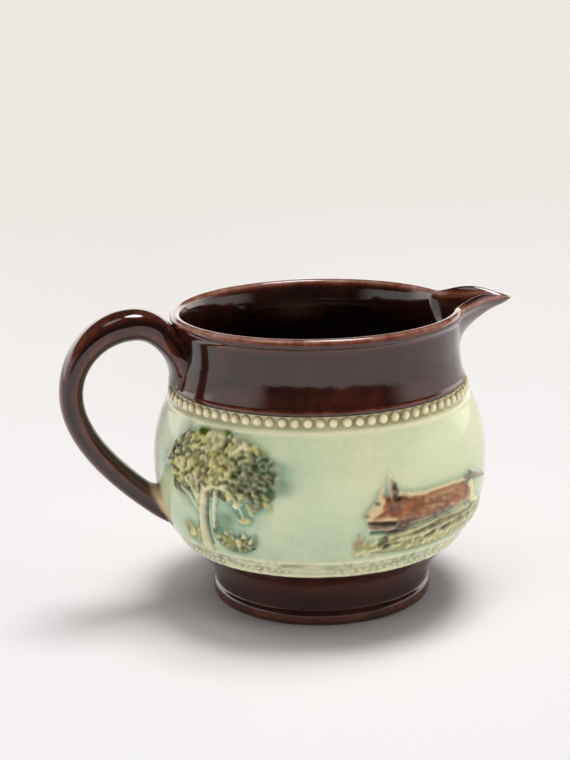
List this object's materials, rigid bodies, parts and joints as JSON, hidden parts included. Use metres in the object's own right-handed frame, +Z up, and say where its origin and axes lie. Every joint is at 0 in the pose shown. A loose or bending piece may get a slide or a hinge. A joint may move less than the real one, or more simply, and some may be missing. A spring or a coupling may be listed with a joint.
{
  "type": "stoneware pitcher",
  "caption": "Small glazed stoneware cream jug with a pulled handle, a pouring lip and moulded relief of a tree and a running fox.",
  "frame": {"origin": "on the axis of the turned body, in the plane of the flat underside", "axes": "+X towards the pouring lip, -X towards the handle, +Z up; the front with the relief seen in the picture faces -Y"},
  "size_m": [0.1286, 0.0956, 0.0851],
  "materials": {
    "glazed_stoneware": "gloss"
  },
  "bodies": {
    "root": {"pitcher": "glazed_stoneware"}
  },
  "joints": []
}
